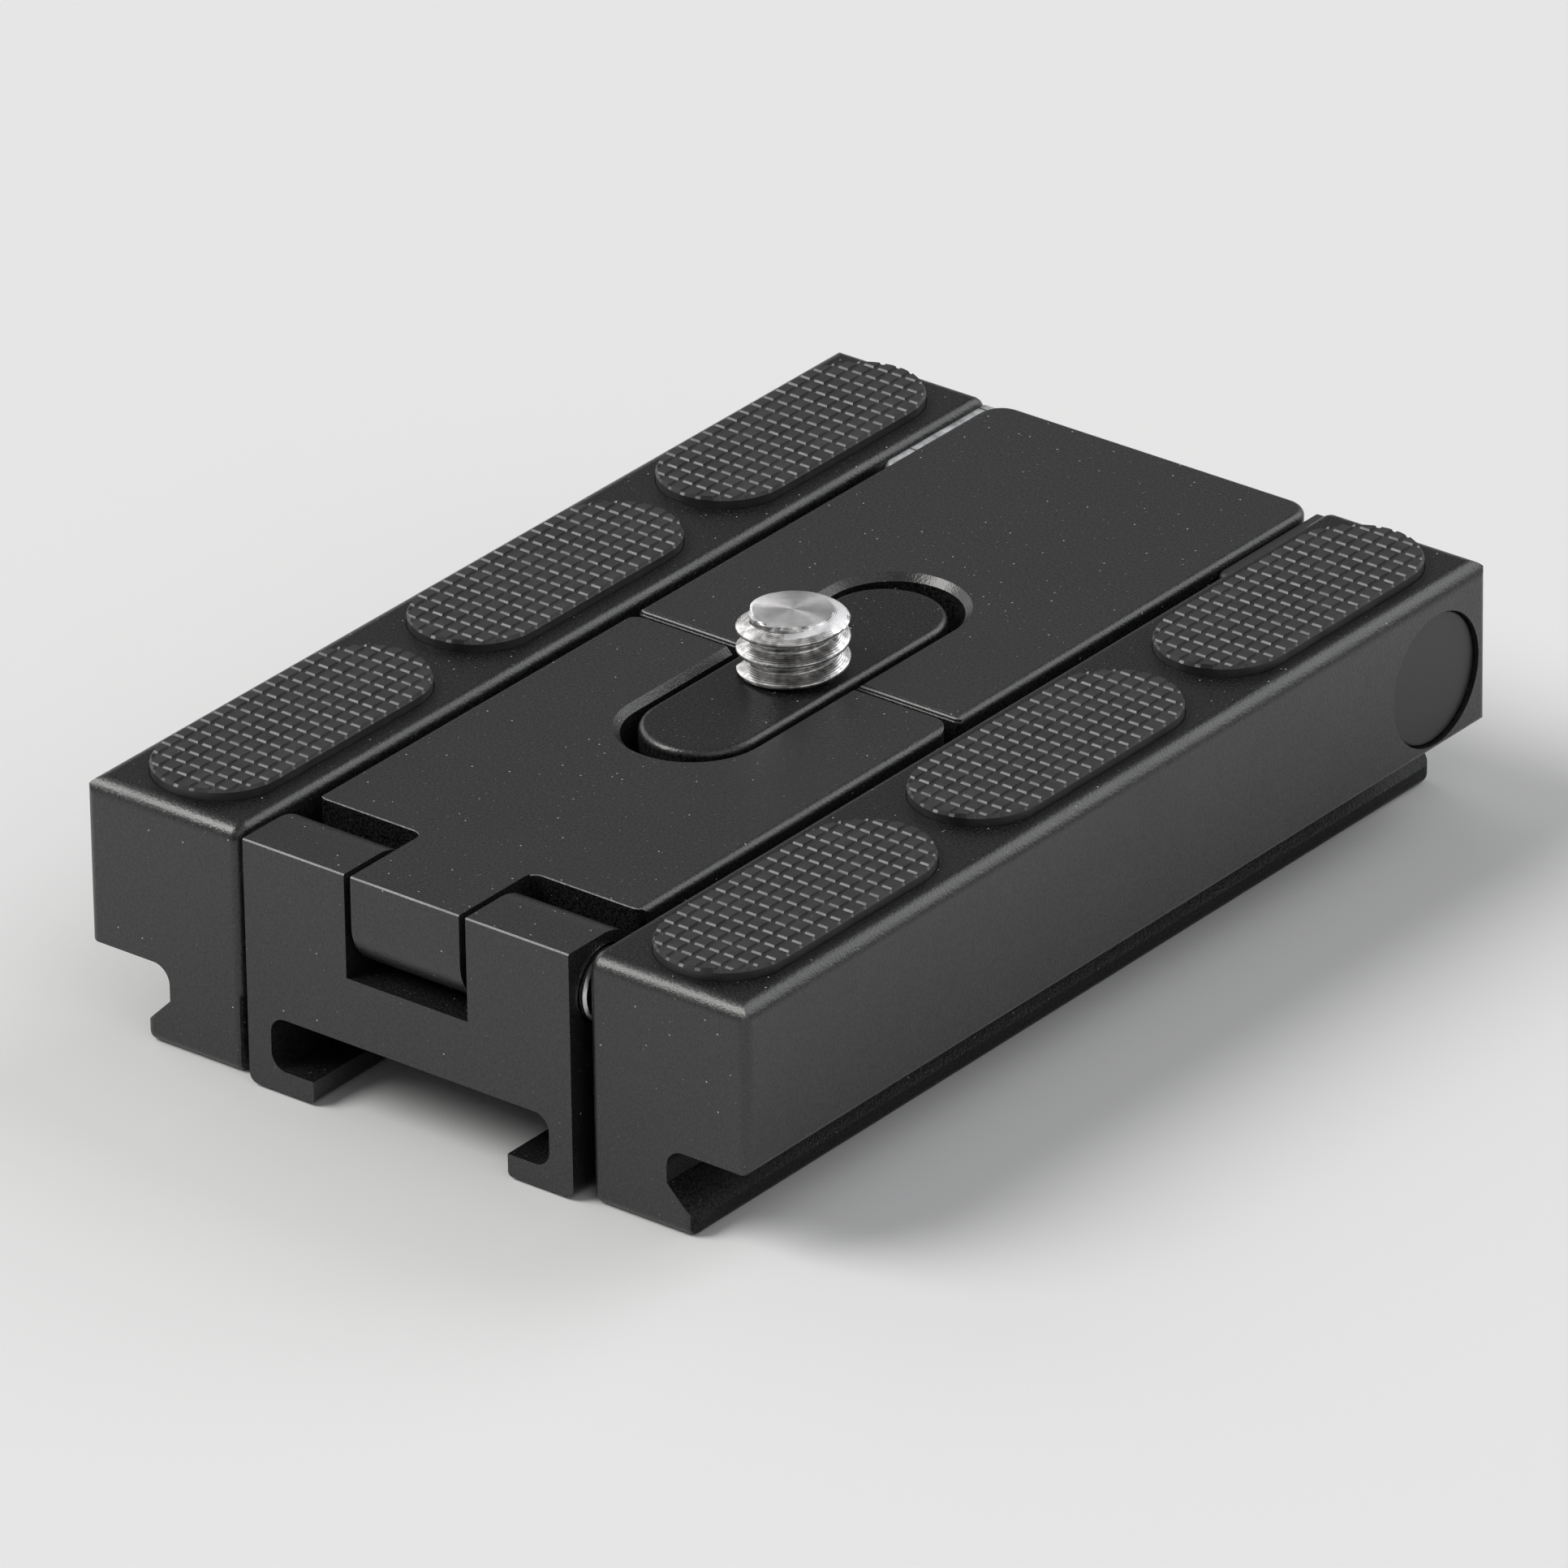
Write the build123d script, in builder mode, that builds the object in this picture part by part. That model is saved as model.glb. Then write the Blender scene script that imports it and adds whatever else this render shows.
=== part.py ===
from build123d import *
import os

# Quick release plate for a tripod head, with a phone clamp folded away inside it.
# Two dovetail rails carry a fold-up backbone: a hinged rear plate, a sprung front
# plate that draws out of it on two rods, and a jaw with an accessory shoe.
# Millimetres, Z up, X across the rails, the jaw at the front end (-Y).
# The origin is below the middle of the part, on the face that it stands on.

# Driving dimensions: rails
plate_width = 45.7
plate_height = 15.0
rail_length = 66.6
side_wall_height = 10.0
flange_width = 38.1
flange_lip = 1.1
groove_depth = 1.8
groove_radius = 1.1
rail_edge = 1.0
rail_corner = 0.6
rail_inner_edge = 0.6
rail_foot_edge = 0.5

# Driving dimensions: web and boss between the rails
web_length = 19.0
web_lift = 1.0
boss_length = 23.2
boss_width = 7.1
boss_drop = 0.15
boss_edge = 0.4

# Driving dimensions: backbone
backbone_width = 22.5
backbone_thickness = 6.0
side_gap = 0.8
web_gap = 0.5
seam_gap = 0.6
rear_inset = 0.35
slot_length = 25.8
slot_width = 8.1
slot_chamfer = 0.4
backbone_edge = 0.45
seam_edge = 0.25
seam_corner = 1.2
rear_corner = 1.6
fine_edge = 0.08

# Driving dimensions: rear pivot
pivot_from_rear = 4.8
pivot_below_top = 5.6
barrel_fillet = 1.0
cap_diameter = 7.9
cap_thickness = 0.9
cap_sink = 0.3
cap_edge = 0.15
pivot_head_diameter = 6.4
pivot_head_height = 1.9
pivot_shoulder_diameter = 4.0
pivot_thread_diameter = 3.0
pivot_thread_length = 6.0
hex_across = 2.0
hex_depth = 1.2
liner_length = 9.6
liner_drop = 0.5
liner_foot_drop = 10.0
liner_corner = 0.5

# Driving dimensions: jaw and its hinge
jaw_stand_out = 0.55
jaw_length = 21.5
jaw_lift = 0.15
jaw_corner = 0.6
knuckle_inner_width = 8.4
tongue_width = 7.5
hinge_clearance = 0.3
notch_corner = 0.7
leaf_drop = 7.0
shoe_width = 19.3
shoe_mouth = 13.5
shoe_ceiling_drop = 10.3
shoe_height = 3.2
shoe_corner = 1.0
lip_edge = 0.3
hinge_pin_diameter = 2.6
hinge_head_diameter = 4.2
hinge_head_height = 1.0
hinge_head_proud = 0.35
hinge_head_edge = 0.15
hinge_hex_floor = 0.3
hinge_screw_diameter = 1.6
hinge_screw_length = 6.0
jaw_pad_thickness = 0.6
jaw_pad_side_margin = 2.75
jaw_pad_corner = 1.5
jaw_pad_margin = 1.2

# Driving dimensions: guide rods, bushings and springs
rod_diameter = 2.0
rod_from_side = 3.5
rod_bore_diameter = 3.8
rod_bore_depth = 25.0
rod_head_height = 1.5
bushing_length = 3.0
wire_diameter = 0.5
spring_turns = 8

# Driving dimensions: rubber pads
pad_length = 19.9
pad_width = 7.8
pad_end_margin = 1.25
pad_proud = 0.7
pad_recess = 0.8
pad_edge = 0.2

# Driving dimensions: camera screw, 1/4 inch
thread_diameter = 6.35
thread_height = 3.55
thread_chamfer = 0.45
neck_diameter = 4.6
head_diameter = 10.0
head_height = 2.4
head_sink = 0.6
head_edge = 0.3
coin_slot_width = 1.4
coin_slot_depth = 1.2
screw_washer_thickness = 0.5
screw_washer_margin = 0.4

# Clearances
running = 0.05
seated = 0.05
free = 0.2
axial = 0.1

# Places worked out from the dimensions above
tol = 0.01
top = plate_height
front_y = -(rail_length + jaw_stand_out) / 2
rail_front = front_y + jaw_stand_out
rail_rear = rail_front + rail_length
mid_y = (rail_front + rail_rear) / 2
half_backbone = backbone_width / 2
rail_inner = half_backbone + side_gap
rail_outer = plate_width / 2
rail_mid = (rail_inner + rail_outer) / 2
flange_half = flange_width / 2
neck_half = flange_half - groove_depth
neck_foot = flange_lip + groove_depth
overhang = top - side_wall_height
underside = top - backbone_thickness
web_top = underside - web_gap
boss_top = top - boss_drop
seam_front = mid_y - seam_gap / 2
seam_rear = mid_y + seam_gap / 2
backbone_rear = rail_rear - rear_inset
pivot_y = rail_rear - pivot_from_rear
pivot_z = top - pivot_below_top
barrel_radius = backbone_rear - pivot_y
knuckle_radius = backbone_thickness / 2
hinge_y = front_y + knuckle_radius
hinge_z = top - knuckle_radius
notch_y = front_y + 2 * knuckle_radius + hinge_clearance
land_z = underside - hinge_clearance
leaf_top = top - leaf_drop
shoe_ceiling = top - shoe_ceiling_drop
lip_top = shoe_ceiling - shoe_height
jaw_rear = front_y + jaw_length
rod_x = half_backbone - rod_from_side
rod_z = top - backbone_thickness / 2
head_bottom = web_lift + head_sink
head_top = head_bottom + head_height
washer_top = head_top + axial + screw_washer_thickness
cap_pocket = cap_thickness + cap_sink
liner_top = top - liner_drop
liner_foot = top - liner_foot_drop
pad_spacing = rail_length / 2 - pad_end_margin - pad_length / 2
spring_radius = (rod_bore_diameter - wire_diameter) / 2 - free
rod_head_diameter = rod_bore_diameter - 2 * free

os.makedirs("parts", exist_ok=True)


def save_piece(piece, name):
    piece.part.label = name
    export_step(piece.part, f"parts/{name}.step")


def corner_at(vertices, x, y):
    return vertices.sort_by_distance((x, y, 0))[0]


# Body: both rails, the web that joins them and the boss for the camera screw
with BuildPart() as body:
    with BuildSketch(Plane.XZ.offset(-rail_rear)) as rail_section:
        with BuildLine():
            Polyline(
                (rail_inner, 0),
                (flange_half, 0),
                (flange_half, flange_lip),
                (neck_half, neck_foot),
                (neck_half, overhang),
                (rail_outer, overhang),
                (rail_outer, top),
                (rail_inner, top),
                close=True,
            )
        make_face()
        fillet(corner_at(rail_section.vertices(), neck_half, overhang), groove_radius)
        fillet(corner_at(rail_section.vertices(), rail_outer, top), rail_edge)
        foot_corners = [(rail_inner, 0), (flange_half, 0), (rail_outer, overhang)]
        for foot_x, foot_z in foot_corners:
            fillet(corner_at(rail_section.vertices(), foot_x, foot_z), rail_foot_edge)
        mirror(about=Plane.YZ)
    extrude(amount=rail_length)
    with BuildSketch(Plane((0, mid_y, 0))):
        RectangleRounded(plate_width, rail_length, rail_corner)
    extrude(amount=top, mode=Mode.INTERSECT)
    with BuildSketch(Plane.YZ.offset(-rail_outer)) as side_outline:
        with Locations((mid_y, top / 2)):
            Rectangle(rail_length, top)
        fillet(side_outline.vertices().group_by(Axis.Y)[-1], rail_edge)
    extrude(amount=plate_width, mode=Mode.INTERSECT)
    for side in (-1, 1):
        wall_middle = (side * rail_inner, mid_y, top / 2)
        wall = body.faces().filter_by(Plane.YZ).sort_by_distance(wall_middle)[0]
        wall_rim = [edge for edge in wall.edges() if edge.center().Z > rail_foot_edge + tol]
        fillet(wall_rim, rail_inner_edge)
    # Recesses for the rubber pads
    with BuildSketch(Plane((0, mid_y, top))):
        with GridLocations(2 * rail_mid, pad_spacing, 2, 3):
            SlotOverall(pad_length + 2 * seated, pad_width + 2 * seated, rotation=90)
    extrude(amount=-pad_recess, mode=Mode.SUBTRACT)
    # Web and boss
    with BuildSketch(Plane((0, mid_y, web_lift))):
        Rectangle(2 * rail_inner + rail_inner_edge, web_length)
    extrude(amount=web_top - web_lift)
    with BuildSketch(Plane((0, mid_y, web_top))):
        SlotOverall(boss_length, boss_width, rotation=90)
    extrude(amount=boss_top - web_top)
    fillet(body.faces().filter_by_position(Axis.Z, boss_top - tol, boss_top + tol).edges(), boss_edge)
    # Hole for the camera screw, counterbored from below for its head
    with Locations(Plane(origin=(0, mid_y, web_lift), z_dir=(0, 0, -1))):
        CounterBoreHole(
            radius=neck_diameter / 2 + running,
            counter_bore_radius=head_diameter / 2 + free,
            counter_bore_depth=washer_top + axial - web_lift,
            depth=boss_top,
        )
    # Stepped pivot bores, one from each side
    for side in (-1, 1):
        with Locations(Plane(origin=(side * rail_outer, pivot_y, pivot_z), z_dir=(side, 0, 0))):
            CounterBoreHole(
                radius=pivot_shoulder_diameter / 2 + running,
                counter_bore_radius=pivot_head_diameter / 2 + free,
                counter_bore_depth=cap_pocket + pivot_head_height + 2 * axial,
                depth=rail_outer - rail_inner + tol,
            )
            Hole(radius=cap_diameter / 2 + seated, depth=cap_pocket)
save_piece(body, "body")

# Rubber pads, three set into each rail
pad_rows = (("front", -1), ("middle", 0), ("rear", 1))
for side, side_name in ((-1, "left"), (1, "right")):
    for row_name, row in pad_rows:
        with BuildPart() as pad:
            with BuildSketch(Plane((side * rail_mid, mid_y + row * pad_spacing, top - pad_recess))):
                SlotOverall(pad_length, pad_width, rotation=90)
            extrude(amount=pad_recess + pad_proud)
            fillet(pad.faces().sort_by(Axis.Z)[-1].edges(), pad_edge)
        save_piece(pad, f"pad_{side_name}_{row_name}")


# Long slot through both plates, which clears the boss
with BuildSketch(Plane((0, mid_y, top))) as slot_outline:
    SlotOverall(slot_length, slot_width, rotation=90)


def slot_rim(edges):
    # Top edges of the slot in one plate, without the seam
    near_top = edges.filter_by_position(Axis.Z, top - tol, top + tol)
    inside = near_top.filter_by_position(Axis.X, -slot_width / 2 - tol, slot_width / 2 + tol)
    reach = slot_length / 2 + tol
    return inside.filter_by_position(Axis.Y, mid_y - reach, mid_y + reach)


# Rear plate: the lower half of the backbone, with the hinge barrel at its rear end
with BuildPart() as rear_plate:
    with BuildSketch(Plane.YZ.offset(-half_backbone)) as rear_section:
        with BuildLine():
            Polyline(
                (seam_rear, underside),
                (seam_rear, top),
                (backbone_rear, top),
                (backbone_rear, pivot_z),
                (pivot_y, pivot_z),
                (pivot_y, underside),
                close=True,
            )
        make_face()
        with Locations((pivot_y, pivot_z)):
            Circle(barrel_radius)
        barrel_root = rear_section.vertices().filter_by_position(Axis.Y, underside - tol, underside + tol)
        fillet(barrel_root.sort_by(Axis.X)[-1], barrel_fillet)
    extrude(amount=backbone_width)
    with BuildSketch(Plane((0, 0, pivot_z - barrel_radius))) as rear_outline:
        with Locations((0, (seam_rear + backbone_rear) / 2)):
            Rectangle(backbone_width, backbone_rear - seam_rear)
        fillet(rear_outline.vertices().group_by(Axis.Y)[-1], rear_corner)
    extrude(amount=top - pivot_z + barrel_radius, mode=Mode.INTERSECT)
    rear_rim = rear_plate.edges().filter_by_position(Axis.Z, top - tol, top + tol)
    fillet([edge for edge in rear_rim if edge.center().Y > seam_rear + tol], backbone_edge)
    extrude(slot_outline.sketch, amount=-backbone_thickness, mode=Mode.SUBTRACT)
    chamfer(slot_rim(rear_plate.edges()), slot_chamfer)
    seam_line = rear_plate.edges().filter_by_position(Axis.Z, top - tol, top + tol)
    chamfer(seam_line.filter_by_position(Axis.Y, seam_rear - tol, seam_rear + tol), seam_edge)
    # Bores for the guide rods and tapped holes for the pivot screws
    for side in (-1, 1):
        with Locations(Plane(origin=(side * rod_x, seam_rear, rod_z), z_dir=(0, -1, 0))):
            Hole(radius=rod_bore_diameter / 2, depth=rod_bore_depth)
        with Locations(Plane(origin=(side * half_backbone, pivot_y, pivot_z), z_dir=(side, 0, 0))):
            Hole(radius=pivot_thread_diameter / 2, depth=pivot_thread_length + axial)
save_piece(rear_plate, "rear_plate")

# Front plate: the upper half of the backbone, with the hinge tongue for the jaw
with BuildPart() as front_plate:
    with BuildSketch(Plane((0, 0, underside))) as front_outline:
        with Locations((0, (notch_y + seam_front) / 2)):
            Rectangle(backbone_width, seam_front - notch_y)
        with Locations((0, (front_y + seam_front) / 2)):
            Rectangle(tongue_width, seam_front - front_y)
        shoulder = front_outline.vertices().filter_by_position(Axis.Y, notch_y - tol, notch_y + tol)
        fillet(shoulder, notch_corner)
        fillet(front_outline.vertices().group_by(Axis.Y)[-1], seam_corner)
    extrude(amount=backbone_thickness)
    # Long top edges, rounded before the corners are cut
    with BuildSketch(Plane.XZ.offset(-seam_front)) as bar_section:
        with Locations((0, top - backbone_thickness / 2)):
            Rectangle(backbone_width, backbone_thickness)
        fillet(bar_section.vertices().group_by(Axis.Y)[-1], backbone_edge)
    extrude(amount=seam_front - front_y, mode=Mode.INTERSECT)
    extrude(slot_outline.sketch, amount=-backbone_thickness, mode=Mode.SUBTRACT)
    across = front_plate.edges().filter_by(Axis.X)
    tongue_foot = across.filter_by_position(Axis.Y, front_y - tol, front_y + tol).sort_by(Axis.Z)[0]
    fillet(tongue_foot, knuckle_radius - tol)
    across = front_plate.edges().filter_by(Axis.X)
    tongue_crest = across.filter_by_position(Axis.Y, front_y - tol, front_y + tol).sort_by(Axis.Z)[-1]
    chamfer(tongue_crest, fine_edge)
    chamfer(slot_rim(front_plate.edges()), slot_chamfer)
    with Locations(Plane(origin=(tongue_width / 2, hinge_y, hinge_z), z_dir=(1, 0, 0))):
        Hole(radius=hinge_pin_diameter / 2 + running, depth=tongue_width)
    for side in (-1, 1):
        with Locations(Plane(origin=(side * rod_x, seam_front, rod_z), z_dir=(0, 1, 0))):
            Hole(radius=rod_bore_diameter / 2, depth=rod_bore_depth)
save_piece(front_plate, "front_plate")

# Jaw: two knuckles, a front wall and a leaf with the accessory shoe slot below
with BuildPart() as shoe_jaw:
    with BuildSketch(Plane.XZ.offset(-jaw_rear)) as leaf_section:
        with Locations((0, (jaw_lift + leaf_top) / 2)):
            Rectangle(backbone_width, leaf_top - jaw_lift)
        with Locations((0, (shoe_ceiling + lip_top) / 2)):
            Rectangle(shoe_width, shoe_height, mode=Mode.SUBTRACT)
        with Locations((0, (jaw_lift + lip_top) / 2)):
            Rectangle(shoe_mouth, lip_top - jaw_lift, mode=Mode.SUBTRACT)
        for side in (-1, 1):
            shoe_wall = side * shoe_width / 2
            fillet(corner_at(leaf_section.vertices(), shoe_wall, shoe_ceiling), shoe_corner)
            fillet(corner_at(leaf_section.vertices(), shoe_wall, lip_top), shoe_corner)
            fillet(corner_at(leaf_section.vertices(), side * half_backbone, jaw_lift), jaw_corner)
            fillet(corner_at(leaf_section.vertices(), side * shoe_mouth / 2, jaw_lift), lip_edge)
    extrude(amount=jaw_length)
    with BuildSketch(Plane.YZ.offset(-half_backbone)):
        with BuildLine():
            Polyline(
                (hinge_y + knuckle_radius, hinge_z),
                (hinge_y + knuckle_radius, leaf_top),
                (front_y, leaf_top),
                (front_y, top),
                (hinge_y, top),
            )
            RadiusArc(
                (hinge_y, top),
                (hinge_y + knuckle_radius, hinge_z),
                knuckle_radius,
            )
        make_face()
    extrude(amount=backbone_width)
    with BuildSketch(Plane((0, hinge_y, land_z))):
        Rectangle(knuckle_inner_width, 4 * knuckle_radius)
    extrude(amount=top - land_z, mode=Mode.SUBTRACT)
    jaw_crest = shoe_jaw.edges().filter_by(Axis.X).filter_by_position(Axis.Y, front_y - tol, front_y + tol)
    chamfer(jaw_crest.filter_by_position(Axis.Z, top - tol, top + tol), fine_edge)
    for side in (-1, 1):
        with Locations(Plane(origin=(side * half_backbone, hinge_y, hinge_z), z_dir=(side, 0, 0))):
            CounterBoreHole(
                radius=hinge_pin_diameter / 2 + seated,
                counter_bore_radius=hinge_head_diameter / 2 + free,
                counter_bore_depth=hinge_head_height - hinge_head_proud,
                depth=half_backbone,
            )
save_piece(shoe_jaw, "shoe_jaw")

# Rubber liner on the upper face of the jaw's leaf, which grips the phone
with BuildPart() as jaw_pad:
    liner_front = notch_y + jaw_pad_margin
    liner_rear = jaw_rear - jaw_pad_margin
    with BuildSketch(Plane((0, (liner_front + liner_rear) / 2, leaf_top))):
        RectangleRounded(backbone_width - 2 * jaw_pad_side_margin, liner_rear - liner_front, jaw_pad_corner)
    extrude(amount=jaw_pad_thickness)
save_piece(jaw_pad, "jaw_pad")

hinge_head_face = half_backbone + hinge_head_proud
hinge_head_seat = hinge_head_face - hinge_head_height

# Hinge pin: headed at the right, drilled from the left for its screw
with BuildPart() as hinge_pin:
    with BuildSketch(Plane.YZ.offset(hinge_head_face)):
        with Locations((hinge_y, hinge_z)):
            Circle(hinge_head_diameter / 2)
    extrude(amount=-hinge_head_height)
    chamfer(hinge_pin.faces().sort_by(Axis.X)[-1].edges(), hinge_head_edge)
    with BuildSketch(Plane.YZ.offset(hinge_head_seat)):
        with Locations((hinge_y, hinge_z)):
            Circle(hinge_pin_diameter / 2)
    extrude(amount=-2 * hinge_head_seat + axial)
    with Locations(Plane(origin=(axial - hinge_head_seat, hinge_y, hinge_z), z_dir=(-1, 0, 0))):
        Hole(radius=hinge_screw_diameter / 2, depth=hinge_screw_length)
save_piece(hinge_pin, "hinge_pin")

# Screw that closes the hinge pin at the left
with BuildPart() as hinge_screw:
    with BuildSketch(Plane.YZ.offset(-hinge_head_face)):
        with Locations((hinge_y, hinge_z)):
            Circle(hinge_head_diameter / 2)
    extrude(amount=hinge_head_height)
    chamfer(hinge_screw.faces().sort_by(Axis.X)[0].edges(), hinge_head_edge)
    with BuildSketch(Plane.YZ.offset(-hinge_head_seat)):
        with Locations((hinge_y, hinge_z)):
            Circle(hinge_screw_diameter / 2)
    extrude(amount=hinge_screw_length - axial)
    with BuildSketch(Plane.YZ.offset(-hinge_head_face)):
        with Locations((hinge_y, hinge_z)):
            RegularPolygon(hex_across / 2, 6, major_radius=False)
    extrude(amount=hinge_head_height - hinge_hex_floor, mode=Mode.SUBTRACT)
save_piece(hinge_screw, "hinge_screw")

# Pivot screws, square friction washers and caps, one set at each side
for side, side_name in ((-1, "left"), (1, "right")):
    head_face = rail_outer - cap_pocket - axial
    head_seat = head_face - pivot_head_height
    with BuildPart() as pivot_screw:
        with BuildSketch(Plane(origin=(side * head_face, pivot_y, pivot_z), z_dir=(side, 0, 0))):
            Circle(pivot_head_diameter / 2)
        extrude(amount=-pivot_head_height)
        with BuildSketch(Plane(origin=(side * head_seat, pivot_y, pivot_z), z_dir=(side, 0, 0))):
            Circle(pivot_shoulder_diameter / 2)
        extrude(amount=half_backbone - head_seat)
        with BuildSketch(Plane(origin=(side * half_backbone, pivot_y, pivot_z), z_dir=(side, 0, 0))):
            Circle(pivot_thread_diameter / 2)
        extrude(amount=-pivot_thread_length)
        with BuildSketch(Plane(origin=(side * head_face, pivot_y, pivot_z), z_dir=(side, 0, 0))):
            RegularPolygon(hex_across / 2, 6, major_radius=False)
        extrude(amount=-hex_depth, mode=Mode.SUBTRACT)
    save_piece(pivot_screw, f"pivot_screw_{side_name}")

    with BuildPart() as friction_washer:
        with BuildSketch(Plane.YZ.offset(side * (half_backbone + axial))):
            with Locations((pivot_y, (liner_top + liner_foot) / 2)):
                RectangleRounded(liner_length, liner_top - liner_foot, liner_corner)
            with Locations((pivot_y, pivot_z)):
                Circle(pivot_shoulder_diameter / 2 + running, mode=Mode.SUBTRACT)
        extrude(amount=side * (side_gap - axial))
    save_piece(friction_washer, f"friction_washer_{side_name}")

    with BuildPart() as pivot_cap:
        cap_middle = (side * (rail_outer - cap_sink), pivot_y, pivot_z)
        with BuildSketch(Plane(origin=cap_middle, z_dir=(side, 0, 0))):
            Circle(cap_diameter / 2)
        extrude(amount=-cap_thickness)
        cap_face = pivot_cap.faces().sort_by_distance((side * rail_outer, pivot_y, pivot_z))[0]
        fillet(cap_face.edges(), cap_edge)
    save_piece(pivot_cap, f"pivot_cap_{side_name}")

# Guide rods, their bushings at both sides of the seam, and the springs around them
rod_end = rod_bore_depth + seam_gap / 2 - 2 * free
rod_head_seat = rod_end - rod_head_height
bushing_inner_end = seam_gap / 2 + bushing_length
spring_room = rod_head_seat - bushing_inner_end
spring_height = spring_room - wire_diameter - 2 * axial
for side, side_name in ((-1, "left"), (1, "right")):
    rod_place = Plane(origin=(side * rod_x, mid_y, rod_z), z_dir=(0, 1, 0))
    with BuildPart() as guide_rod:
        with BuildSketch(rod_place.offset(-rod_end)):
            Circle(rod_diameter / 2)
        extrude(amount=2 * rod_end)
        for end in (-1, 1):
            with BuildSketch(rod_place.offset(end * rod_end)):
                Circle(rod_head_diameter / 2)
            extrude(amount=-end * rod_head_height)
    save_piece(guide_rod, f"guide_rod_{side_name}")

    for end, end_name in ((-1, "front"), (1, "rear")):
        with BuildPart() as rod_bushing:
            with BuildSketch(rod_place.offset(end * seam_gap / 2)):
                Circle(rod_bore_diameter / 2)
                Circle(rod_diameter / 2 + running, mode=Mode.SUBTRACT)
            extrude(amount=end * bushing_length)
        save_piece(rod_bushing, f"rod_bushing_{end_name}_{side_name}")

        coil_start = bushing_inner_end + axial + wire_diameter / 2
        coil_foot = rod_place.offset(end * coil_start).origin
        with BuildPart() as spring:
            with BuildLine():
                coil = Helix(
                    pitch=spring_height / spring_turns,
                    height=spring_height,
                    radius=spring_radius,
                    center=coil_foot,
                    direction=(0, end, 0),
                )
            with BuildSketch(Plane(origin=coil @ 0, z_dir=coil % 0)):
                Circle(wire_diameter / 2)
            sweep(path=coil, is_frenet=True)
        save_piece(spring, f"spring_{end_name}_{side_name}")

# Camera screw: threaded stud above the boss, thin neck, head with a coin slot below
with BuildPart() as camera_screw:
    stud_bottom = boss_top + axial
    stud_top = stud_bottom + thread_height
    with BuildSketch(Plane(origin=(0, mid_y, 0), x_dir=(1, 0, 0), z_dir=(0, -1, 0))):
        with BuildLine():
            Polyline(
                (0, head_bottom),
                (head_diameter / 2 - head_edge, head_bottom),
                (head_diameter / 2, head_bottom + head_edge),
                (head_diameter / 2, head_top),
                (neck_diameter / 2, head_top),
                (neck_diameter / 2, stud_bottom),
                (thread_diameter / 2, stud_bottom),
                (thread_diameter / 2, stud_top - thread_chamfer),
                (thread_diameter / 2 - thread_chamfer, stud_top),
                (0, stud_top),
                close=True,
            )
        make_face()
    revolve(axis=Axis((0, mid_y, 0), (0, 0, 1)))
    with BuildSketch(Plane((0, mid_y, head_bottom))):
        Rectangle(head_diameter, coin_slot_width)
    extrude(amount=coin_slot_depth, mode=Mode.SUBTRACT)
save_piece(camera_screw, "camera_screw")

# Washer between the screw's head and the web
with BuildPart() as screw_washer:
    with BuildSketch(Plane((0, mid_y, head_top + axial))):
        Circle(head_diameter / 2 - screw_washer_margin)
        Circle(neck_diameter / 2 + seated, mode=Mode.SUBTRACT)
    extrude(amount=screw_washer_thickness)
save_piece(screw_washer, "screw_washer")
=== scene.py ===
import math

import bmesh
import bpy
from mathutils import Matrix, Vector


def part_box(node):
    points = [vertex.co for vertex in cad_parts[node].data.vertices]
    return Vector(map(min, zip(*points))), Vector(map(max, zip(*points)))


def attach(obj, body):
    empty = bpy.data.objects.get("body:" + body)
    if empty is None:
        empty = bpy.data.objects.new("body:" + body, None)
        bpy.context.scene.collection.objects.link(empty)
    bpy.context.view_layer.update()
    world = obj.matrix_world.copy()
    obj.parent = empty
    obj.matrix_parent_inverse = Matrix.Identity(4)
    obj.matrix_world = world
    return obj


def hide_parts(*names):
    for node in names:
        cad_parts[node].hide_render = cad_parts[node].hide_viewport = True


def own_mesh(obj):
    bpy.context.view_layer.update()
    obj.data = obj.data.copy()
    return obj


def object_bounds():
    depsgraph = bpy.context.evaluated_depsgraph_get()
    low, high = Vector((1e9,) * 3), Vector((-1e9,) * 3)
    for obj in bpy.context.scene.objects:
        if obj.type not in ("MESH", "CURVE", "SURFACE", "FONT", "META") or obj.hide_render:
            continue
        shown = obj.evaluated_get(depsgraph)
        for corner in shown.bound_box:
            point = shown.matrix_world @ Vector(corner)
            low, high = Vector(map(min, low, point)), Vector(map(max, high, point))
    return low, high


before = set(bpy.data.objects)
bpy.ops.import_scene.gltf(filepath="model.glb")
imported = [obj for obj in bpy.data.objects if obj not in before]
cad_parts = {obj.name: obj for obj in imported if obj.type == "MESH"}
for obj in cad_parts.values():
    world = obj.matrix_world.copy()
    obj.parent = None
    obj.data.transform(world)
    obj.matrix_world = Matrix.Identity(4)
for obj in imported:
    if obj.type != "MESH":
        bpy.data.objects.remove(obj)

CAD_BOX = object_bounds()
MM = 0.001

# Camera of the photograph, aimed at a point near the middle of the plate
PHOTO_WIDTH = 1932
CAMERA_AZIMUTH = math.radians(38.476)
CAMERA_ELEVATION = math.radians(27.318)
CAMERA_ROLL = math.radians(-0.891)
CAMERA_DISTANCE = 0.9540
CAMERA_TARGET = Vector((2.255, -3.575, 9.998)) * MM
FOCAL_PIXELS = 21450
SENSOR_WIDTH = 36.0

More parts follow.
